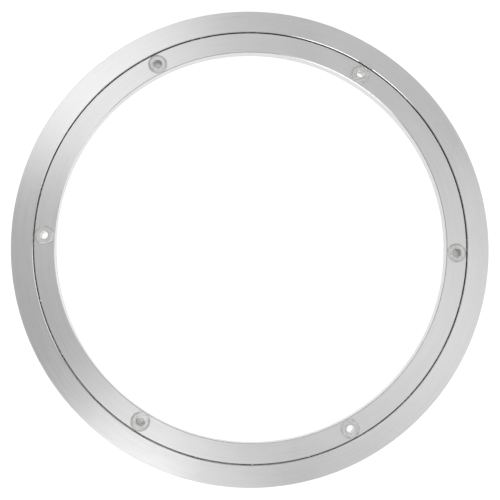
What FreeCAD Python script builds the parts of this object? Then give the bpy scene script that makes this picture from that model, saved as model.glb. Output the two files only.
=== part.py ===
import FreeCAD
import Part
import math
import os

# Turntable bearing: two flush aluminium rings that turn on caged steel balls.
# Millimetres. Z is the turning axis, and the feet stand on Z = 0.

# Rings
outer_radius = 150.0          # outside edge of the outer ring
seam_gap = 0.7                # slit between the two rings at their top faces
lip_thickness = 1.5           # of each ring's lip over the ball channel
channel_half_width = 1.2      # from the ball circle to either wall of the channel
edge_chamfer = 0.4            # on every turned corner
race_wall = 0.87              # metal left between a race and a pad's socket

# Balls and their four-point races
ball_radius = 2.38
ball_count = 24
race_clearance = 0.12         # from ball to race along the line of contact
contact_angle = 45.0          # degrees from the plane of the rings
arch_offset = 0.3             # each flank's centre lies this far past the ball's
over_ball_clearance = 0.22    # from ball to the lips above it

# Crown cage
cage_thickness = 1.7          # measured outwards from the axis
cage_recess = 0.6             # from the rings' underside up to the cage
pocket_clearance = 0.15       # from ball to its spherical pocket
pocket_floor = 1.27           # of the cage under a pocket
prong_rise = 1.5              # of the prongs above the ball's centre
prong_thickness = 1.37        # of a prong at the height of the ball's centre
prong_draft = 6.0             # degrees that a prong's back leans
web_rise = 0.83               # of the bridge between two pockets, above the pocket floor
valley_fillet = 0.8           # where a prong's back meets the bridge

# Filling hole for the balls, and its plug
plug_allowance = 0.1          # of the plug's radius over the ball's
plug_clearance = 0.02         # from the plug to its hole
plug_azimuth = 177.8          # degrees

# Soft pads above and feet below, one moulding
pad_count = 6
first_pad_azimuth = -2.2      # degrees
foot_turn = 30.0              # degrees from a pad to the next foot
pad_height = 2.5
pad_top_radius = 4.8
pad_rim_height = 0.5          # upright edge where the pad meets the ring
pad_top_round = 0.5
pad_bore_radius = 2.4
pad_edge_margin = 0.35        # face of the inner ring left beside a pad
foot_edge_margin = 0.8        # face of the outer ring left beside a foot
stem_radius = 3.2
stem_length = 3.0
stem_clearance = 0.05         # from a stem to its socket's wall
socket_end_gap = 0.5          # from a stem's end to its socket's floor

# Screw holes under every other pad
screw_hole_radius = 2.65
countersink_radius = 4.8
countersink_angle = 90.0      # degrees, across the cone

# Heights, stacked up from the feet
ring_bottom = pad_height
cage_bottom = ring_bottom + cage_recess
pocket_radius = ball_radius + pocket_clearance
ball_z = cage_bottom + pocket_floor + pocket_radius
lip_bottom = ball_z + ball_radius + over_ball_clearance
ring_top = lip_bottom + lip_thickness
web_top = cage_bottom + pocket_floor + web_rise
prong_top = ball_z + prong_rise

# Race section, measured from the ball's centre
flank_radius = ball_radius + race_clearance + arch_offset
flank_shift_out = arch_offset * math.cos(math.radians(contact_angle))
flank_shift_up = arch_offset * math.sin(math.radians(contact_angle))
race_reach = math.sqrt(flank_radius ** 2 - flank_shift_up ** 2) - flank_shift_out

# Radii, worked inwards from the outside edge
socket_radius = stem_radius + stem_clearance
inner_ring_width = 2 * (race_reach - seam_gap / 2 + race_wall + socket_radius)
pad_base_radius = inner_ring_width / 2 - pad_edge_margin
outer_ring_width = 2 * (pad_base_radius + foot_edge_margin)
race_radius = outer_radius - outer_ring_width - seam_gap / 2
bore_radius = race_radius - seam_gap / 2 - inner_ring_width
pad_circle_radius = bore_radius + inner_ring_width / 2
foot_circle_radius = outer_radius - outer_ring_width / 2

centre = FreeCAD.Vector(0, 0, 0)
up = FreeCAD.Vector(0, 0, 1)


def at(radius, height):
    return FreeCAD.Vector(radius, 0, height)


def line(start, end):
    return Part.LineSegment(start, end).toShape()


def outline(points):
    """Straight edges from each point to the next."""
    return [line(a, b) for a, b in zip(points, points[1:])]


def turned(edges):
    """The solid that a closed section sweeps about the Z axis."""
    solid = Part.Face(Part.Wire(edges)).revolve(centre, up, 360)
    return solid if solid.Volume > 0 else solid.reversed()


def turn_to(shape, degrees):
    copy = shape.copy()
    copy.rotate(centre, up, degrees)
    return copy


def around(count, first=0.0):
    """The azimuths of evenly spaced copies."""
    return [first + 360.0 * k / count for k in range(count)]


def race_flank(side, rise):
    """One arc of a race, from the channel wall to the race's deepest line.

    side is 1 in the outer ring and -1 in the inner ring, and rise is 1 above the ball's centre.
    """
    middle = at(race_radius - side * flank_shift_out, ball_z - rise * flank_shift_up)
    wall_run = channel_half_width + flank_shift_out
    first = math.asin(math.sqrt(flank_radius ** 2 - wall_run ** 2) / flank_radius)
    last = math.asin(flank_shift_up / flank_radius)
    points = []
    for angle in (first, (first + last) / 2, last):
        run = at(side * flank_radius * math.cos(angle), rise * flank_radius * math.sin(angle))
        points.append(middle + run)
    return points


def ring_blank(side, far_radius):
    """A ring before its holes: lip, ball channel and race on the seam's side, a plain wall on the other."""
    seam_radius = race_radius + side * seam_gap / 2
    wall_radius = race_radius + side * channel_half_width
    corner = side * edge_chamfer
    upper = race_flank(side, 1)
    lower = race_flank(side, -1)
    over_race = [
        at(far_radius, ring_top - edge_chamfer),
        at(far_radius - corner, ring_top),
        at(seam_radius + corner, ring_top),
        at(seam_radius, ring_top - edge_chamfer),
        at(seam_radius, lip_bottom),
        at(wall_radius, lip_bottom),
        upper[0],
    ]
    under_race = [
        lower[0],
        at(wall_radius, ring_bottom + edge_chamfer),
        at(wall_radius + corner, ring_bottom),
        at(far_radius - corner, ring_bottom),
        at(far_radius, ring_bottom + edge_chamfer),
        over_race[0],
    ]
    arcs = [Part.Arc(*upper).toShape(), Part.Arc(*reversed(lower)).toShape()]
    return turned(outline(over_race) + arcs + outline(under_race))


def radial_bar(radius):
    """A round bar that lies outwards at the height of the balls, through the outer ring."""
    length = outer_radius + edge_chamfer - race_radius
    bar = Part.makeCylinder(radius, length, at(race_radius, ball_z), FreeCAD.Vector(1, 0, 0))
    return turn_to(bar, plug_azimuth)


def make_outer_ring_and_plug():
    blank = ring_blank(1, outer_radius)
    plug_radius = ball_radius + plug_allowance
    depth = stem_length + socket_end_gap
    socket = Part.makeCylinder(socket_radius, depth, at(foot_circle_radius, ring_bottom))
    first = first_pad_azimuth + foot_turn
    sockets = [turn_to(socket, azimuth) for azimuth in around(pad_count, first)]
    plug = blank.common(radial_bar(plug_radius))
    ring = blank.cut([radial_bar(plug_radius + plug_clearance)] + sockets)
    return ring, plug


def screw_passage(socket_floor):
    """The hole from a pad's socket to the underside, with its countersink."""
    slope = math.tan(math.radians(countersink_angle / 2))
    cone_height = (countersink_radius - screw_hole_radius) / slope
    drill = Part.makeCylinder(
        screw_hole_radius, socket_floor - ring_bottom, at(pad_circle_radius, ring_bottom)
    )
    cone = Part.makeCone(
        countersink_radius, screw_hole_radius, cone_height, at(pad_circle_radius, ring_bottom)
    )
    return [drill, cone]


def make_inner_ring():
    """Every pad has a socket, and every second one a screw hole through its floor."""
    depth = stem_length + socket_end_gap
    socket_floor = ring_top - depth
    socket = Part.makeCylinder(socket_radius, depth, at(pad_circle_radius, socket_floor))
    passage = screw_passage(socket_floor)
    holes = []
    for number, azimuth in enumerate(around(pad_count, first_pad_azimuth)):
        cutters = [socket] + (passage if number % 2 else [])
        holes += [turn_to(cutter, azimuth) for cutter in cutters]
    return ring_blank(-1, bore_radius).cut(holes)


def make_ball():
    return Part.makeSphere(ball_radius, at(race_radius, ball_z))


def valley():
    """The gap between one pocket's prongs and the next pocket's, as a block cut outwards through the band."""
    half_pitch = math.radians(180.0 / ball_count)
    lean = math.tan(math.radians(prong_draft))
    prong_back = pocket_radius + prong_thickness
    half_floor = race_radius * math.sin(half_pitch) - prong_back - lean * (ball_z - web_top)
    above = 1.0
    half_mouth = half_floor + lean * (prong_top + above - web_top)
    inside = race_radius * math.cos(half_pitch) - cage_thickness
    corners = [
        FreeCAD.Vector(inside, -half_mouth, prong_top + above),
        FreeCAD.Vector(inside, -half_floor, web_top),
        FreeCAD.Vector(inside, half_floor, web_top),
        FreeCAD.Vector(inside, half_mouth, prong_top + above),
    ]
    section = Part.Face(Part.makePolygon(corners + corners[:1]))
    block = section.extrude(FreeCAD.Vector(race_radius + cage_thickness - inside, 0, 0))
    floor_edges = [
        edge
        for edge in block.Edges
        if all(abs(vertex.Z - web_top) < 1e-6 for vertex in edge.Vertexes)
        and abs(edge.Vertexes[0].Y - edge.Vertexes[1].Y) < 1e-6
    ]
    block = block.makeFillet(valley_fillet, floor_edges)
    return turn_to(block, 180.0 / ball_count)


def make_cage():
    """A crown: a band with a snap-in pocket for each ball, open at the top, and valleys between the prongs."""
    height = prong_top - cage_bottom
    outside = Part.makeCylinder(race_radius + cage_thickness / 2, height, at(0, cage_bottom))
    inside = Part.makeCylinder(race_radius - cage_thickness / 2, height, at(0, cage_bottom))
    pocket = Part.makeSphere(pocket_radius, at(race_radius, ball_z))
    gap = valley()
    cutters = []
    for azimuth in around(ball_count):
        cutters += [turn_to(pocket, azimuth), turn_to(gap, azimuth)]
    return outside.cut([inside]).cut(cutters)


def make_pad():
    """The moulding that serves as pad and foot, seated at the origin with its stem hanging down."""
    rim = at(pad_base_radius, pad_rim_height)
    shoulder = at(pad_top_radius, pad_height)
    slope = (rim - shoulder).normalize()
    half_corner = math.radians(90.0) - math.atan2(-slope.z, slope.x) / 2
    reach = pad_top_round / math.tan(half_corner)
    flat_end = shoulder - FreeCAD.Vector(reach, 0, 0)
    slope_end = shoulder + slope * reach
    bow = (flat_end + slope_end) * 0.5
    middle = at(flat_end.x, pad_height - pad_top_round)
    crown = middle + (bow - middle).normalize() * pad_top_round
    below = [
        flat_end,
        at(pad_bore_radius, pad_height),
        at(pad_bore_radius, -stem_length),
        at(stem_radius, -stem_length),
        at(stem_radius, 0),
        at(pad_base_radius, 0),
        rim,
        slope_end,
    ]
    return turned(outline(below) + [Part.Arc(slope_end, crown, flat_end).toShape()])


def place_pad(pad, radius, height, azimuth, upside_down=False):
    copy = pad.copy()
    if upside_down:
        copy.rotate(centre, FreeCAD.Vector(1, 0, 0), 180)
    copy.translate(at(radius, height))
    return turn_to(copy, azimuth)


def all_nodes():
    outer_ring, plug = make_outer_ring_and_plug()
    nodes = {
        "outer_ring": outer_ring,
        "fill_plug": plug,
        "inner_ring": make_inner_ring(),
        "ball_cage": make_cage(),
    }
    ball = make_ball()
    for number, azimuth in enumerate(around(ball_count), 1):
        nodes[f"ball_{number:02d}"] = turn_to(ball, azimuth)
    pad = make_pad()
    for number, azimuth in enumerate(around(pad_count, first_pad_azimuth), 1):
        nodes[f"pad_{number}"] = place_pad(pad, pad_circle_radius, ring_top, azimuth)
        foot_azimuth = azimuth + foot_turn
        nodes[f"foot_{number}"] = place_pad(pad, foot_circle_radius, ring_bottom, foot_azimuth, True)
    return nodes


os.makedirs("parts", exist_ok=True)
for name, shape in all_nodes().items():
    solid = shape.Solids[0] if len(shape.Solids) == 1 else shape
    print(name, len(shape.Solids), "solid", shape.isValid(), round(shape.Volume, 2), "mm3")
    solid.exportStep(f"parts/{name}.step")
print(f"outside {outer_radius:.2f}, balls on {race_radius:.3f}, bore {bore_radius:.3f}")
print(f"rings {ring_bottom:.2f} to {ring_top:.2f}, balls at {ball_z:.3f}, pads on {pad_circle_radius:.3f}")
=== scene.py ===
import bpy
import bmesh
import math
from mathutils import Matrix, Vector


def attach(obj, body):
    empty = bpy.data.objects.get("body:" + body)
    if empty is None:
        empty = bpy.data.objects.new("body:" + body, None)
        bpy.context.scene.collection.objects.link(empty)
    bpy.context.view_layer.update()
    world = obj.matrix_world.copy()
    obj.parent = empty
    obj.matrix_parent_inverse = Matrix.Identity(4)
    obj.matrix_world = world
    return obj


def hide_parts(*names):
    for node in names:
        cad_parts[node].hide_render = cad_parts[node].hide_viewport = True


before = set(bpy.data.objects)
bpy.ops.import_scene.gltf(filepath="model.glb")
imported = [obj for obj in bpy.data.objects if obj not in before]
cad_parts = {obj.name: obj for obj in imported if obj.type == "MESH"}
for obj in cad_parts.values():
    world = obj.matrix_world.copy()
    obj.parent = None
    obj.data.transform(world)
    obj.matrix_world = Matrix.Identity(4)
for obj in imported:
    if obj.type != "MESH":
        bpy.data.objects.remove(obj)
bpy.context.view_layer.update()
mm = 0.001
print("stage: CAD model loaded,", len(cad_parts), "nodes")

workshop = {                 # millimetres, for whatever is turned or drilled
    "weld": 0.0005,          # corners closer than this are merged
    "lead": 1.0,             # a drill starts this far outside the metal
    "drillSides": 64,
}


def clearSelection():
    for item in bpy.context.selected_objects:
        item.select_set(False)


def makeActive(piece):
    clearSelection()
    piece.select_set(True)
    bpy.context.view_layer.objects.active = piece


def freshPiece(name):  # the object just made, with its place and turn moved into its mesh
    piece = bpy.context.active_object
    piece.name = name
    piece.data.name = name
    bpy.ops.object.transform_apply(location=True, rotation=True, scale=True)
    return piece


def pick(piece, kind, test):  # selects the edges or faces that pass the test, in edit mode
    bpy.ops.mesh.select_mode(type=kind)
    bpy.ops.mesh.select_all(action="DESELECT")
    shell = bmesh.from_edit_mesh(piece.data)
    parts = {"EDGE": shell.edges, "FACE": shell.faces}[kind]
    chosen = [part for part in parts if test(part)]
    for part in chosen:
        part.select_set(True)
    shell.select_flush_mode()
    bmesh.update_edit_mesh(piece.data)


def cornerSharper(degrees):  # edges where the surface turns by more than this
    def test(edge):
        return len(edge.link_faces) == 2 and edge.calc_face_angle(0) > math.radians(degrees)
    return test


def pointAt(radius, azimuth, height):  # millimetres and degrees to a point in metres
    angle = math.radians(azimuth)
    return Vector((radius * math.cos(angle), radius * math.sin(angle), height)) * mm


def turnSection(name, section, steps):
    # A circle is drawn out through the section's (radius, height) pairs, and its ends are bridged.
    clearSelection()
    radius, height = section[0]
    start = (0, 0, height * mm)
    bpy.ops.mesh.primitive_circle_add(vertices=steps, radius=radius * mm, location=start)
    piece = freshPiece(name)
    bpy.ops.object.mode_set(mode="EDIT")
    bpy.ops.mesh.select_all(action="SELECT")
    for nextRadius, nextHeight in section[1:]:
        rise = (0, 0, (nextHeight - height) * mm)
        widen = nextRadius / radius
        bpy.ops.mesh.extrude_edges_move(TRANSFORM_OT_translate={"value": rise})
        bpy.ops.transform.resize(value=(widen, widen, 1), center_override=(0, 0, 0))
        radius, height = nextRadius, nextHeight
    pick(piece, "EDGE", lambda edge: edge.is_boundary)
    bpy.ops.mesh.bridge_edge_loops()
    bpy.ops.mesh.select_all(action="SELECT")
    bpy.ops.mesh.remove_doubles(threshold=workshop["weld"] * mm)
    bpy.ops.mesh.normals_make_consistent(inside=False)
    bpy.ops.object.mode_set(mode="OBJECT")
    return piece


def chamferCorners(piece, sharper, width):
    makeActive(piece)
    bpy.ops.object.mode_set(mode="EDIT")
    pick(piece, "EDGE", cornerSharper(sharper))
    bpy.ops.mesh.bevel(offset=width * mm, segments=1, affect="EDGES")
    bpy.ops.object.mode_set(mode="OBJECT")


def finishWith(piece, kind, **settings):  # one modifier, applied
    makeActive(piece)
    modifier = piece.modifiers.new(kind.title(), kind)
    for key, value in settings.items():
        setattr(modifier, key, value)
    bpy.ops.object.modifier_apply(modifier=modifier.name)


def cutAway(piece, cutter):
    finishWith(piece, "BOOLEAN", operation="DIFFERENCE", solver="EXACT", object=cutter)
    bpy.data.objects.remove(cutter)


def joined(pieces, name):
    clearSelection()
    for piece in pieces:
        piece.select_set(True)
    bpy.context.view_layer.objects.active = pieces[0]
    bpy.ops.object.join()
    return freshPiece(name)


def drills(radius, bottom, top, circle, azimuths):  # round cutters that stand on a circle
    made = []
    for azimuth in azimuths:
        clearSelection()
        bpy.ops.mesh.primitive_cylinder_add(
            vertices=workshop["drillSides"],
            radius=radius * mm,
            depth=(top - bottom) * mm,
            location=pointAt(circle, azimuth, (bottom + top) / 2),
        )
        made.append(bpy.context.active_object)
    return joined(made, "drills")


def countersinks(wide, narrow, bottom, circle, azimuths):  # 90 degree cones, wide end down
    made = []
    depth = wide - narrow
    for azimuth in azimuths:
        clearSelection()
        bpy.ops.mesh.primitive_cone_add(
            vertices=workshop["drillSides"],
            radius1=wide * mm,
            radius2=narrow * mm,
            depth=depth * mm,
            location=pointAt(circle, azimuth, bottom + depth / 2),
        )
        made.append(bpy.context.active_object)
    return joined(made, "countersinks")


def smooth(piece, degrees):
    makeActive(piece)
    bpy.ops.object.shade_smooth_by_angle(angle=math.radians(degrees))


def placedCopy(source, name, move):
    copy = source.copy()
    copy.data = source.data.copy()
    copy.name = name
    copy.data.name = name
    bpy.context.collection.objects.link(copy)
    copy.data.transform(move)
    return copy


class Wire:  # a node's output, so that shader maths reads as an expression
    def __init__(self, shader, socket):
        self.shader = shader
        self.socket = socket

    def maths(self, operation, first, second):
        return self.shader.node("ShaderNodeMath", {"operation": operation}, {0: first, 1: second})

    def __add__(self, other):
        return self.maths("ADD", self, other)

    def __radd__(self, other):
        return self.maths("ADD", other, self)

    def __sub__(self, other):
        return self.maths("SUBTRACT", self, other)

    def __rsub__(self, other):
        return self.maths("SUBTRACT", other, self)

    def __mul__(self, other):
        return self.maths("MULTIPLY", self, other)

    def __rmul__(self, other):
        return self.maths("MULTIPLY", other, self)

    def __truediv__(self, other):
        return self.maths("DIVIDE", self, other)

    def __rtruediv__(self, other):
        return self.maths("DIVIDE", other, self)

    def __pow__(self, other):
        return self.maths("POWER", self, other)

    def __rpow__(self, other):
        return self.maths("POWER", other, self)


class Finish:  # a material or a world, built node by node
    edgeBlur = 0.05          # millimetres to either side of the edge of a zone
    noiseMean = 0.5

    def __init__(self, name, kind="materials"):
        self.owner = getattr(bpy.data, kind).new(name)
        self.owner.use_nodes = True
        self.tree = self.owner.node_tree
        self.tree.nodes.clear()

    def node(self, kind, settings=None, inputs=None, output=0):
        made = self.tree.nodes.new(kind)
        for key, value in (settings or {}).items():
            if key == "stops":
                for element, (position, colour) in zip(made.color_ramp.elements, value):
                    element.position = position
                    element.color = colour
            else:
                setattr(made, key, value)
        for key, value in (inputs or {}).items():
            if isinstance(value, Wire):
                self.tree.links.new(value.socket, made.inputs[key])
            else:
                made.inputs[key].default_value = value
        return Wire(self, made.outputs[output]) if made.outputs else None

    def place(self):
        return self.node("ShaderNodeTexCoord", output="Object")

    def split(self, vector, axes="XYZ"):
        return [self.node("ShaderNodeSeparateXYZ", {}, {0: vector}, output=axis) for axis in axes]

    def noise(self, vector, scale, detail=2.0, roughness=0.5):
        values = {"Vector": vector, "Scale": scale, "Detail": detail, "Roughness": roughness}
        return self.node("ShaderNodeTexNoise", {}, values)

    def ramp(self, value, low, high):  # 0 up to the low value, 1 from the high one
        values = {"Value": value, "From Min": low, "From Max": high}
        return self.node("ShaderNodeMapRange", {"clamp": True}, values)

    def rise(self, value, edge):  # 0 below an edge given in millimetres, 1 above it
        return self.ramp(value, (edge - self.edgeBlur) * mm, (edge + self.edgeBlur) * mm)

    def between(self, value, low, high):  # 1 from one edge to the other
        return self.rise(value, low) * (1 - self.rise(value, high))

    def mixColour(self, factor, first, second):
        # Sockets 6 and 7 of a Mix node are its two colours, and output 2 is their mix.
        values = {"Factor": factor, 6: first, 7: second}
        return self.node("ShaderNodeMix", {"data_type": "RGBA"}, values, output=2)

    def bump(self, height, strength, distance):
        values = {"Height": height, "Strength": strength, "Distance": distance}
        return self.node("ShaderNodeBump", {}, values)

    def close(self, values):
        surface = self.node("ShaderNodeBsdfPrincipled", {}, values)
        self.node("ShaderNodeOutputMaterial", {}, {"Surface": surface})
        return self.owner


def opaque(colour):
    return (*colour, 1.0)


def grey(level):
    return opaque((level, level, level))


cameraSet = {                # the photograph's own place and lens
    "distance": 570.0,       # from the rings' centre, at their top face
    "tilt": 6.217,           # degrees from straight above
    "azimuth": 242.59,       # that the camera leans towards
    "aim": (-1.65, -3.71, 11.0),
    "lens": 65.50,
    "sensor": 36.0,
    "nearest": 10.0,         # nothing closer is drawn
}


def makeCamera(values):
    aim = Vector(values["aim"]) * mm
    tilt = math.radians(values["tilt"])
    azimuth = math.radians(values["azimuth"])
    level = math.sin(tilt)
    lean = Vector((level * math.cos(azimuth), level * math.sin(azimuth), math.cos(tilt)))
    eye = Vector((0, 0, values["aim"][2] * mm)) + lean * values["distance"] * mm
    back = (eye - aim).normalized()
    right = Vector((0, 1, 0)).cross(back).normalized()
    upwards = back.cross(right)
    camera = bpy.data.objects.new("camera", bpy.data.cameras.new("camera"))
    bpy.context.collection.objects.link(camera)
    turned = Matrix((right, upwards, back)).transposed().to_4x4()
    camera.matrix_world = Matrix.Translation(eye) @ turned
    camera.data.lens = values["lens"]
    camera.data.sensor_width = values["sensor"]
    camera.data.clip_start = values["nearest"] * mm
    bpy.context.scene.camera = camera


makeCamera(cameraSet)


ringShape = {
    "steps": 540,
    "outside": 149.95,
    "bore": 123.02,
    "ballCircle": 136.05,
    "slit": 0.7,
    "channel": 1.2,          # from the ball circle to either wall
    "lip": 1.5,
    "bottom": 2.5,
    "top": 11.0,
    "ballHeight": 6.9,
    "raceRadius": 2.8,
    "raceShift": 0.2121,     # of each race arc's centre, past the ball's
    "raceSteps": 9,
    "edgeChamfer": 0.38,
    "edgeAngle": 60.0,       # sharper corners are chamfered
    "stemRadius": 3.25,      # sockets for the pads' and feet's stems
    "stemDepth": 3.5,
    "screwRadius": 2.65,
    "sinkRadius": 4.8,
    "sinkLead": 0.2,         # the countersinks' cones start this far below the metal
    "smoothAngle": 14.0,     # shading runs smoothly over gentler bends
}
plugShape = {                # closes the hole that the balls went in by
    "azimuth": 177.8,
    "radius": 2.48,
    "gap": 0.03,
    "from": 1.0,             # past the ball circle, where the bar and its hole begin
    "past": 2.0,             # the outside wall, where they end before they are cut
    "sides": 72,
    "edge": 0.14,
    "edgeSteps": 3,
    "edgeAngle": 50.0,
    "faceDepth": 0.4,        # its outer face lies within this of the outside wall
    "facetAngle": 3.0,       # facets that meet at less become one face
    "smoothAngle": 30.0,
}
padLayout = {
    "circle": 129.35,
    "footCircle": 143.2,
    "first": -2.2,
    "footTurn": 30.0,
    "count": 6,
}
padTurn = 360.0 / padLayout["count"]
padAzimuths = [padLayout["first"] + padTurn * k for k in range(padLayout["count"])]
footAzimuths = [azimuth + padLayout["footTurn"] for azimuth in padAzimuths]
screwAzimuths = padAzimuths[1::2]  # every other pad has a screw hole below it


def raceCurve(shape, side):  # from the upper channel wall down to the lower one
    reach, shift = shape["raceRadius"], shape["raceShift"]
    first = math.acos((shape["channel"] + shift) / reach)
    last = math.asin(shift / reach)
    upper = []
    for k in range(shape["raceSteps"]):
        angle = first + (last - first) * k / (shape["raceSteps"] - 1)
        upper.append((reach * math.cos(angle) - shift, reach * math.sin(angle) - shift))
    lower = [(outwards, -rise) for outwards, rise in reversed(upper[:-1])]
    centre, level = shape["ballCircle"], shape["ballHeight"]
    return [(centre + side * outwards, level + rise) for outwards, rise in upper + lower]


def ringSection(shape, side, farRadius):
    seam = shape["ballCircle"] + side * shape["slit"] / 2
    wall = shape["ballCircle"] + side * shape["channel"]
    top, bottom = shape["top"], shape["bottom"]
    lipUnder = top - shape["lip"]
    section = [(farRadius, top), (seam, top), (seam, lipUnder), (wall, lipUnder)]
    section += raceCurve(shape, side)
    return section + [(wall, bottom), (farRadius, bottom)]


def makeRing(name, shape, side, farRadius):
    ring = turnSection(name, ringSection(shape, side, farRadius), shape["steps"])
    chamferCorners(ring, shape["edgeAngle"], shape["edgeChamfer"])
    return ring


def radialBar(shape, radius):  # lies along the plug's azimuth, through the outer ring's wall
    clearSelection()
    inner = ringShape["ballCircle"] + shape["from"]
    outer = ringShape["outside"] + shape["past"]
    bpy.ops.mesh.primitive_cylinder_add(
        vertices=shape["sides"],
        radius=radius * mm,
        depth=(outer - inner) * mm,
        location=pointAt((inner + outer) / 2, shape["azimuth"], ringShape["ballHeight"]),
        rotation=(0, math.pi / 2, math.radians(shape["azimuth"])),
    )
    return freshPiece("bar")


def makePlug(ring, shape):
    # The bar is cut to the ring's own faces, race and all, before its hole is drilled.
    plug = radialBar(shape, shape["radius"])
    plug.name = plug.data.name = "fillPlug"
    finishWith(plug, "BOOLEAN", operation="INTERSECT", solver="EXACT", object=ring)
    makeActive(plug)
    bpy.ops.object.mode_set(mode="EDIT")
    faceFrom = (ringShape["outside"] - shape["faceDepth"]) * mm
    sharp = cornerSharper(shape["edgeAngle"])

    def onFace(part):
        return all(corner.co.xy.length > faceFrom for corner in part.verts)

    pick(plug, "FACE", onFace)
    bpy.ops.mesh.dissolve_limited(angle_limit=math.radians(shape["facetAngle"]))
    pick(plug, "EDGE", lambda edge: sharp(edge) and onFace(edge))
    bpy.ops.mesh.bevel(offset=shape["edge"] * mm, segments=shape["edgeSteps"], affect="EDGES")
    bpy.ops.object.mode_set(mode="OBJECT")
    smooth(plug, shape["smoothAngle"])
    return plug


def makeOuterRing(shape):
    ring = makeRing("outerRing", shape, 1, shape["outside"])
    bottom, lead = shape["bottom"], workshop["lead"]
    socketTop = bottom + shape["stemDepth"]
    footCircle = padLayout["footCircle"]
    plug = makePlug(ring, plugShape)
    cutAway(ring, radialBar(plugShape, plugShape["radius"] + plugShape["gap"]))
    cutAway(ring, drills(shape["stemRadius"], bottom - lead, socketTop, footCircle, footAzimuths))
    smooth(ring, shape["smoothAngle"])
    return ring, plug


def makeInnerRing(shape):
    ring = makeRing("innerRing", shape, -1, shape["bore"])
    top, bottom, lead = shape["top"], shape["bottom"], workshop["lead"]
    socketFloor = top - shape["stemDepth"]
    screw, sinkLead = shape["screwRadius"], shape["sinkLead"]
    sink = shape["sinkRadius"] + sinkLead
    circle = padLayout["circle"]
    cutAway(ring, drills(shape["stemRadius"], socketFloor, top + lead, circle, padAzimuths))
    cutAway(ring, drills(screw, bottom - lead, socketFloor + lead, circle, screwAzimuths))
    cutAway(ring, countersinks(sink, screw, bottom - sinkLead, circle, screwAzimuths))
    smooth(ring, shape["smoothAngle"])
    return ring


outerRing, fillPlug = makeOuterRing(ringShape)
innerRing = makeInnerRing(ringShape)
outerFaces, innerFaces = len(outerRing.data.polygons), len(innerRing.data.polygons)
print("stage: rings turned,", outerFaces, "and", innerFaces, "faces")


padShape = {                 # one moulding, for the pads above and the feet below
    "steps": 48,
    "base": 5.98,
    "rim": 0.5,
    "topEdge": 4.8,
    "height": 2.48,
    "bore": 2.4,
    "dish": 0.12,            # the top sinks this much towards the bore
    "stem": 3.2,
    "stemLength": 3.0,
    "rounding": 1,           # times that the moulding is subdivided
}


def padSection(shape):
    # Pairs close together hold an edge crisp when the moulding is subdivided.
    base, rim, edge, height = shape["base"], shape["rim"], shape["topEdge"], shape["height"]
    bore, stem, length, dish = shape["bore"], shape["stem"], shape["stemLength"], shape["dish"]
    return [
        (stem, -0.05),
        (stem + 0.06, 0.0),
        (base - 0.2, 0.0),
        (base - 0.02, 0.03),
        (base, 0.16),
        (base - 0.01, rim - 0.12),
        (base - 0.1, rim + 0.06),
        (base - 0.45, rim + 0.62),
        (edge + 0.2, height - 0.52),
        (edge + 0.02, height - 0.2),
        (edge - 0.2, height - 0.03),
        (edge - 0.5, height),
        (edge - 0.9, height - 0.01),
        (bore + 0.62, height - dish),
        (bore + 0.3, height - dish - 0.02),
        (bore + 0.08, height - dish - 0.1),
        (bore, height - dish - 0.34),
        (bore, 0.3),
        (bore, -length + 0.25),
        (bore + 0.1, -length + 0.02),
        (bore + 0.4, -length),
        (stem - 0.12, -length + 0.02),
        (stem, -length + 0.2),
        (stem, -length * 0.5),
    ]


def makePads(shape):
    master = turnSection("padMaster", padSection(shape), shape["steps"])
    finishWith(master, "SUBSURF", levels=shape["rounding"], render_levels=shape["rounding"])
    makeActive(master)
    bpy.ops.object.shade_smooth()
    pads, feet = [], []
    for number, azimuth in enumerate(padAzimuths, 1):
        stand = Matrix.Rotation(math.radians(azimuth), 4, "Z")
        above = Matrix.Translation(pointAt(padLayout["circle"], azimuth, ringShape["top"]))
        pads.append(placedCopy(master, f"pad{number}", above @ stand))
    for number, azimuth in enumerate(footAzimuths, 1):
        hang = Matrix.Rotation(math.radians(azimuth), 4, "Z") @ Matrix.Rotation(math.pi, 4, "X")
        below = Matrix.Translation(pointAt(padLayout["footCircle"], azimuth, ringShape["bottom"]))
        feet.append(placedCopy(master, f"foot{number}", below @ hang))
    bpy.data.objects.remove(master)
    return pads, feet


pads, feet = makePads(padShape)
print("stage: pads and feet moulded,", len(pads[0].data.polygons), "faces each")


ringFinish = {
    "colour": (0.845, 0.845, 0.85),
    "shade": (0.487, 0.487, 0.491),
    # a lighter colour: painted highlight on the seam's chamfers, and on the bore's wall partly
    # painted highlight, partly a finer bored finish
    "paintedHighlight": (0.90, 0.90, 0.895),
    "drilled": (0.78, 0.78, 0.77),
    # grease in the ball channel, near black, partly real grease and partly painted shade in the
    # deep slit
    "greased": (0.06, 0.058, 0.054),
    "outer": (0.30, 0.8),    # roughness and anisotropy of either ring
    "inner": (0.35, 0.7),
    "turn": 0.25,            # lays the grain round the axis
    "edgeTint": 0.9,
    "keen": 0.13,            # the chamfers at the seam and bore are this much glossier
    "dull": 0.12,            # races and sockets are this much rougher
    "filmMetal": 0.7,        # metallic look that the grease and its painted shade take away
    "boreHighlight": 0.3,       # of the lighter colour on the bore's wall, partly a finer bored finish and partly painted highlight
    "seamHighlight": 0.5,        # of the lighter colour on the seam's chamfers, a painted highlight
    "wallPaintedShade": 0.6,        # of the shade colour on the outside wall, as painted shade
    # Turning lines per metre across the face, how often they change on their way round, and detail.
    "fine": (4200.0, 3.0, 3.0),
    "coarse": (1500.0, 4.0, 1.0),
    "bands": (420.0, 1.4, 2.0),
    "haze": (22.0, 3.0),     # scale and detail
    "crispness": 0.6,        # of the lines and the haze
    "tones": {"fine": 0.38, "coarse": 0.20, "bands": 0.14, "haze": 0.28},
    "streaks": {"fine": 0.12, "coarse": 0.05, "bands": 0.05, "haze": 0.08},
    "grain": (0.25, 0.02),   # strength, and depth in millimetres
}
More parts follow.
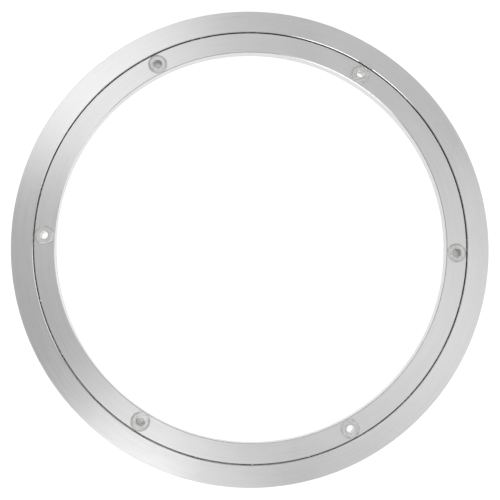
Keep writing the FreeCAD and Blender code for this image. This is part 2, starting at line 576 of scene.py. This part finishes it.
ringZones = {                # millimetres, where one finish gives way to another
    "chamfers": 0.4,         # below the top face
    "seamEdge": 0.72,        # from the ball circle
    "boreEdge": 0.36,        # from the bore
    "walls": 0.1,            # in from the bore and from the outside
    "underside": 0.3,        # the cut inside starts this far up from the bottom face,
    "topFace": 0.42,         # this far down from the top face
    "sides": 0.5,            # and this far in from the bore and the outside
    "channel": 1.3,          # grease and painted shade reach this far from the ball circle,
    "raceDepth": 1.45,       # and this much further at the races,
    "raceHeight": 2.7,       # which reach this far above and below the balls' centres
    "paintedShadeTop": 0.6,        # the seam's walls are free of grease and painted shade down to this far below the top face
}


def turnedAluminium(name, values, ring, seed):
    finish, zones = Finish(name), ringZones
    roughness, anisotropy = values[ring]
    tones, streaks, middle = values["tones"], values["streaks"], finish.noiseMean
    place = finish.place()
    x, y, z = finish.split(place)
    radius = (x * x + y * y) ** 0.5
    across = radius - z      # runs over flat faces and walls alike
    east, north = x / radius, y / radius

    def lines(kind):
        crowd, reach, detail = values[kind]
        along = {0: across * crowd, 1: east * reach + seed, 2: north * reach}
        at = finish.node("ShaderNodeCombineXYZ", {}, along)
        return finish.noise(at, 1.0, detail, values["crispness"])

    fine, coarse, bands = lines("fine"), lines("coarse"), lines("bands")
    haze = finish.noise(place, *values["haze"], values["crispness"])
    tone = fine * tones["fine"] + coarse * tones["coarse"]
    tone = tone + bands * tones["bands"] + haze * tones["haze"]

    # The bore's wall gets a lighter colour, partly a finer bored finish and partly painted
    # highlight. The seam's chamfers get the same colour as a painted highlight, and the outside
    # wall gets painted shade.
    top, bottom, level = ringShape["top"], ringShape["bottom"], ringShape["ballHeight"]
    innermost, outermost = ringShape["bore"], ringShape["outside"]
    fromSeam = ((radius - ringShape["ballCircle"] * mm) ** 2) ** 0.5
    atTop = finish.rise(z, top - zones["chamfers"])
    seamEdge = (1 - finish.rise(fromSeam, zones["seamEdge"])) * atTop
    boreEdge = (1 - finish.rise(radius, innermost + zones["boreEdge"])) * atTop
    bore = 1 - finish.rise(radius, innermost + zones["walls"])
    outside = finish.rise(radius, outermost - zones["walls"])
    bright = finish.mixColour(tone, opaque(values["shade"]), opaque(values["colour"]))
    highlightMix = bore * values["boreHighlight"] + seamEdge * values["seamHighlight"]
    bright = finish.mixColour(highlightMix, bright, opaque(values["paintedHighlight"]))
    # painted shade: the outside wall is darkened towards the shade colour
    bright = finish.mixColour(outside * values["wallPaintedShade"], bright, opaque(values["shade"]))

    # Races and sockets were cut after the faces were finished. The races hold a film of grease,
    # coloured near black as painted shade in the deep channel.
    upwards = finish.between(z, bottom + zones["underside"], top - zones["topFace"])
    sideways = finish.between(radius, innermost + zones["sides"], outermost - zones["sides"])
    within = upwards * sideways
    deep = finish.between(z, level - zones["raceHeight"], level + zones["raceHeight"])
    beside = finish.rise(fromSeam - deep * (zones["raceDepth"] * mm), zones["channel"])
    above = finish.rise(z, top - zones["paintedShadeTop"])
    clearOfShade = beside + (1 - beside) * above
    cutAndShaded = finish.mixColour(clearOfShade, opaque(values["greased"]), opaque(values["drilled"]))

    streaky = (fine - middle) * streaks["fine"] + (coarse - middle) * streaks["coarse"]
    streaky = streaky + (bands - middle) * streaks["bands"] + (haze - middle) * streaks["haze"]
    keenEdges = (seamEdge + boreEdge) * values["keen"]
    strength, depth = values["grain"]
    return finish.close({
        "Base Color": finish.mixColour(within, bright, cutAndShaded),
        "Metallic": 1 - within * (1 - clearOfShade) * values["filmMetal"],
        "Roughness": streaky + within * values["dull"] + roughness - keenEdges,
        "Specular Tint": grey(values["edgeTint"]),
        "Anisotropic": anisotropy,
        "Anisotropic Rotation": values["turn"],
        "Normal": finish.bump(fine, strength, depth * mm),
    })


siliconeFinish = {
    "colour": (1.0, 0.995, 0.98),
    "cloud": (0.97, 0.965, 0.945),
    "index": 1.41,
    "clearness": 0.64,
    "shine": 1.0,
    "shineRoughness": 0.04,
    "roughness": 0.05,
    "hazeRoughness": 0.08,
    "skinRoughness": 0.04,
    "haze": (180.0, 2.0),    # scale and detail of each pattern
    "skin": (2600.0, 2.0),
    "waves": (650.0, 1.0),
    "skinRelief": 0.04,      # as a share of the waves'
    "relief": (1.0, 0.16),   # strength, and depth in millimetres
}


def clearSilicone(name, values):
    finish = Finish(name)
    place, middle = finish.place(), finish.noiseMean
    haze = finish.noise(place, *values["haze"])
    skin = finish.noise(place, *values["skin"])
    waves = finish.noise(place, *values["waves"])
    uneven = (haze - middle) * values["hazeRoughness"] + (skin - middle) * values["skinRoughness"]
    strength, depth = values["relief"]
    return finish.close({
        "Base Color": finish.mixColour(haze, opaque(values["colour"]), opaque(values["cloud"])),
        "Roughness": uneven + values["roughness"],
        "IOR": values["index"],
        "Transmission Weight": values["clearness"],
        "Coat Weight": values["shine"],
        "Coat Roughness": values["shineRoughness"],
        "Normal": finish.bump(waves + skin * values["skinRelief"], strength, depth * mm),
    })


ballFinish = {
    "colour": (0.76, 0.76, 0.76),
    "greased": (0.68, 0.6732, 0.6528),
    "film": (260.0, 3.0),    # scale and detail
    "roughness": 0.03,
    "filmRoughness": 0.14,
}


def ballSteel(name, values):
    finish = Finish(name)
    film = finish.noise(finish.place(), *values["film"])
    return finish.close({
        "Base Color": finish.mixColour(film, opaque(values["colour"]), opaque(values["greased"])),
        "Metallic": 1.0,
        "Roughness": film * values["filmRoughness"] + values["roughness"],
    })


nylonFinish = {              # milky plastic with smears of grey grease on it
    "colour": (0.87, 0.86, 0.80),
    "shade": (0.80, 0.785, 0.71),
    "greased": (0.52, 0.51, 0.465),
    "cloud": (90.0, 3.0),    # scale and detail of each pattern
    "skin": (3000.0, 3.0),
    "smears": (420.0, 3.0, 0.65),
    "smeared": (0.38, 0.68),  # where in their pattern the smears begin and are full
    "roughness": 0.4,
    "cloudRoughness": 0.1,
    "skinRoughness": 0.14,
    "smearGloss": 0.12,
    "glow": 0.25,
    "glowReach": (0.002, 0.0017, 0.0012),
    "grain": (0.3, 0.04),    # strength, and depth in millimetres
}


def naturalNylon(name, values):
    finish = Finish(name)
    place, middle = finish.place(), finish.noiseMean
    cloud = finish.noise(place, *values["cloud"])
    skin = finish.noise(place, *values["skin"])
    smeared = finish.ramp(finish.noise(place, *values["smears"]), *values["smeared"])
    plastic = finish.mixColour(cloud, opaque(values["shade"]), opaque(values["colour"]))
    uneven = (cloud - middle) * values["cloudRoughness"] + skin * values["skinRoughness"]
    strength, depth = values["grain"]
    return finish.close({
        "Base Color": finish.mixColour(smeared, plastic, opaque(values["greased"])),
        "Roughness": uneven - smeared * values["smearGloss"] + values["roughness"],
        "Subsurface Weight": values["glow"],
        "Subsurface Radius": values["glowReach"],
        "Normal": finish.bump(skin, strength, depth * mm),
    })


plugFinish = {               # fine rings turned on the plug's outer face
    "shade": 0.52,
    "light": 0.62,
    "rings": (5200.0, 2.0),  # per metre, and detail
    "roughness": 0.24,
    "ringRoughness": 0.16,
    "grain": (0.35, 0.02),   # strength, and depth in millimetres
}


def drawnPlug(name, values):
    finish = Finish(name)
    faced = finish.node("ShaderNodeMapping", {"vector_type": "TEXTURE"}, {
        "Vector": finish.place(),
        "Location": Vector((0, 0, ringShape["ballHeight"] * mm)),
        "Rotation": (0.0, 0.0, math.radians(plugShape["azimuth"])),
    })
    crowd, detail = values["rings"]
    y, z = finish.split(faced, "YZ")
    radius = (y * y + z * z) ** 0.5
    rings = finish.noise(finish.node("ShaderNodeCombineXYZ", {}, {0: radius * crowd}), 1.0, detail)
    strength, depth = values["grain"]
    return finish.close({
        "Base Color": finish.mixColour(rings, grey(values["shade"]), grey(values["light"])),
        "Metallic": 1.0,
        "Roughness": rings * values["ringRoughness"] + values["roughness"],
        "Normal": finish.bump(rings, strength, depth * mm),
    })


def dress(piece, material, body=None, node=None):
    piece.data.materials.clear()
    piece.data.materials.append(material)
    if body:
        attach(piece, body)
    if node:
        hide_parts(node)


outerMetal = turnedAluminium("turned aluminium outer", ringFinish, "outer", 0.0)
innerMetal = turnedAluminium("turned aluminium inner", ringFinish, "inner", 7.0)
silicone = clearSilicone("clear silicone", siliconeFinish)
steel = ballSteel("ball steel", ballFinish)
dress(outerRing, outerMetal, "outer", "outer_ring")
dress(innerRing, innerMetal, "inner", "inner_ring")
dress(fillPlug, drawnPlug("drawn plug", plugFinish), "outer", "fill_plug")
for number, (pad, foot) in enumerate(zip(pads, feet), 1):
    dress(pad, silicone, "inner", f"pad_{number}")
    dress(foot, silicone, "outer", f"foot_{number}")
dress(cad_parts["ball_cage"], naturalNylon("natural nylon", nylonFinish))
for name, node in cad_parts.items():
    if name.startswith("ball_") and name != "ball_cage":
        dress(node, steel)
print("stage: finishes on")


studio = {
    "floorRadius": 15000.0,
    "floorInset": 0.5,       # of the radius, for the floor's outer band
    "wallHeight": 12000.0,
    "steps": 96,
    "smoothAngle": 30.0,
    "wallGlow": 0.80,
    "wallPaper": (2.0, 2.0),  # scale and detail of the paper's mottling
    "floorPaper": (40.0, 3.0),
    "mottling": 0.01,
    "floorTone": 0.62,
    "floorGlow": 0.69,       # the floor is lit from below, as on a light table
    "floorRoughness": 0.85,
    "floorGloss": 0.1,
    "dome": 0.715,
    "horizon": 0.26,
    "fullFrom": 0.5,         # the sine of the elevation from which the dome has its full strength
    "dimSide": 205.0,        # azimuth of the studio's dark side
    "dimming": 1.1,          # greatest half way up
    "lampDistance": 700.0,
}
softBoxes = [                # azimuth, elevation, width and height in millimetres, power in watts
    (0.0, 75.0, 260.0, 260.0, 0.160),
    (20.0, 15.0, 350.0, 350.0, 0.300),
    (118.0, 65.0, 260.0, 260.0, 0.195),
    (140.0, 55.0, 240.0, 240.0, 0.070),
    (224.0, 55.0, 260.0, 260.0, 0.080),
    (240.0, 20.0, 540.0, 200.0, 0.640),
    (240.0, 55.0, 260.0, 260.0, 0.330),
    (261.0, 55.0, 260.0, 260.0, 0.160),
    (338.0, 15.0, 350.0, 350.0, 0.200),
]


def paperColour(finish, pattern, level, spread):
    paper = finish.noise(finish.place(), *pattern)
    return finish.mixColour(paper, grey(level - spread), grey(level + spread))


def litFloor(values):
    clearSelection()
    radius = values["floorRadius"] * mm
    bpy.ops.mesh.primitive_circle_add(vertices=values["steps"], radius=radius, fill_type="NGON")
    floor = freshPiece("floor")
    bpy.ops.object.mode_set(mode="EDIT")
    bpy.ops.mesh.select_all(action="SELECT")
    bpy.ops.mesh.inset(thickness=radius * values["floorInset"])
    bpy.ops.object.mode_set(mode="OBJECT")
    finish = Finish("white floor")
    tone = paperColour(finish, values["floorPaper"], values["floorTone"], values["mottling"])
    floor.data.materials.append(finish.close({
        "Base Color": tone,
        "Roughness": values["floorRoughness"],
        "Specular IOR Level": values["floorGloss"],
        "Emission Color": grey(1.0),
        "Emission Strength": values["floorGlow"],
    }))


def paleBackdrop(values):
    # A plain wall all round, for the camera alone: the rings mirror the dimmer studio behind it.
    clearSelection()
    height = values["wallHeight"]
    bpy.ops.mesh.primitive_cylinder_add(
        vertices=values["steps"],
        radius=values["floorRadius"] * mm,
        depth=height * mm,
        end_fill_type="NOTHING",
        location=(0, 0, height / 2 * mm),
    )
    wall = freshPiece("backdrop")
    bpy.ops.object.mode_set(mode="EDIT")
    bpy.ops.mesh.select_all(action="SELECT")
    bpy.ops.mesh.flip_normals()
    bpy.ops.object.mode_set(mode="OBJECT")
    smooth(wall, values["smoothAngle"])
    finish = Finish("pale backdrop")
    tone = paperColour(finish, values["wallPaper"], values["wallGlow"], values["mottling"])
    wall.data.materials.append(finish.close({
        "Base Color": grey(0.0),
        "Specular IOR Level": 0.0,
        "Emission Color": tone,
        "Emission Strength": 1.0,
    }))
    wall.visible_diffuse = wall.visible_glossy = False
    wall.visible_transmission = wall.visible_shadow = False


def makeSoftBox(number, azimuth, elevation, width, height, power):
    azimuth, elevation = math.radians(azimuth), math.radians(elevation)
    level = math.cos(elevation)
    away = Vector((level * math.cos(azimuth), level * math.sin(azimuth), math.sin(elevation)))
    lamp = bpy.data.objects.new(f"softBox{number}", bpy.data.lights.new(f"softBox{number}", "AREA"))
    lamp.data.shape = "ELLIPSE"
    lamp.data.size = width * mm
    lamp.data.size_y = height * mm
    lamp.data.energy = power
    lamp.location = away * studio["lampDistance"] * mm
    lamp.rotation_mode = "QUATERNION"
    lamp.rotation_quaternion = away.to_track_quat("Z", "Y")
    bpy.context.collection.objects.link(lamp)


def makeWorld(values):
    # The soft dome is brightest overhead and dims towards the horizon, most of all on one side.
    sky = Finish("studio", "worlds")
    x, y, z = sky.split(sky.node("ShaderNodeTexCoord", output="Generated"))
    stops = [(0.0, grey(values["horizon"])), (values["fullFrom"], grey(values["dome"]))]
    dome = sky.node("ShaderNodeValToRGB", {"stops": stops}, {0: z})
    side = math.radians(values["dimSide"])
    facing = {0: x * math.cos(side) + y * math.sin(side), 1: 0.0}
    towards = sky.node("ShaderNodeMath", {"operation": "MAXIMUM"}, facing)
    strength = 1 - towards * z * values["dimming"]
    light = sky.node("ShaderNodeBackground", {}, {"Color": dome, "Strength": strength})
    sky.node("ShaderNodeOutputWorld", {}, {"Surface": light})
    bpy.context.scene.world = sky.owner


litFloor(studio)
paleBackdrop(studio)
for number, softBox in enumerate(softBoxes, 1):
    makeSoftBox(number, *softBox)
makeWorld(studio)
bpy.context.scene.view_settings.view_transform = "Standard"
print("stage: studio lit")
